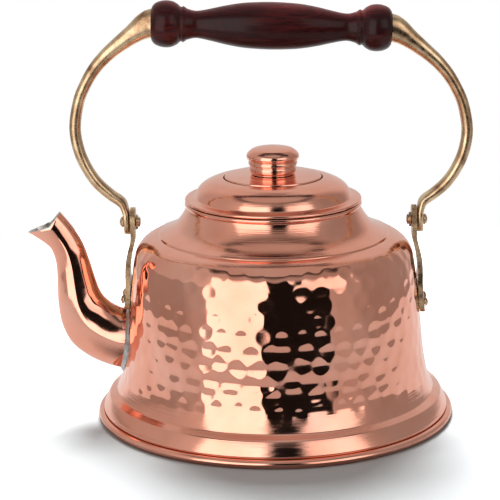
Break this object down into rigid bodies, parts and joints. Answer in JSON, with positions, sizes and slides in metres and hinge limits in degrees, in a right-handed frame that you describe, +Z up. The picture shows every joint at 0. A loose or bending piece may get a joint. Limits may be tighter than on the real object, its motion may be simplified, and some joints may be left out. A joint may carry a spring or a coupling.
{
  "type": "copper kettle",
  "caption": "Hammered copper kettle with a flared foot, a lift-off domed lid with a knob, a curved spout and a swinging brass bail with a turned wooden grip.",
  "frame": {"origin": "centre of the flat underside that the kettle stands on", "axes": "+Z up, the spout points along -X, and the bail swings about an axis along X"},
  "size_m": [0.2221, 0.18, 0.2101],
  "materials": {
    "copper": "polished, hammered on the body's wall",
    "tinned_copper": "spun copper, tinned inside",
    "brass": "aged, lightly polished",
    "solder": "wiped tin solder",
    "steel": "plain",
    "lacquered_wood": "dark red gloss lacquer"
  },
  "bodies": {
    "kettle": {"body_shell": "copper", "bottom_plate": "copper", "spout": "copper", "spout_collar": "solder", "bail_lug_left": "brass", "bail_lug_right": "brass", "lug_rivet_left_front": "brass", "lug_rivet_left_back": "brass", "lug_rivet_right_front": "brass", "lug_rivet_right_back": "brass", "pivot_rivet_left": "brass", "pivot_rivet_right": "brass", "pivot_washer_left": "brass", "pivot_washer_right": "brass"},
    "lid": {"lid_cover": "copper", "lid_skirt": "tinned_copper", "lid_knob": "copper", "knob_screw": "steel", "knob_washer": "brass"},
    "bail": {"bail_arm_left": "brass", "bail_arm_right": "brass", "grip": "lacquered_wood", "grip_rod": "steel"}
  },
  "joints": [
    {"name": "lid_lift", "type": "slide", "parent": "kettle", "child": "lid", "axis": [0, 0, 1], "range_m": [0, 0.045]},
    {"name": "bail_swing", "type": "hinge", "parent": "kettle", "child": "bail", "pos_m": [0, 0, 0.0994], "axis": [1, 0, 0], "range_deg": [-115, 115]}
  ]
}
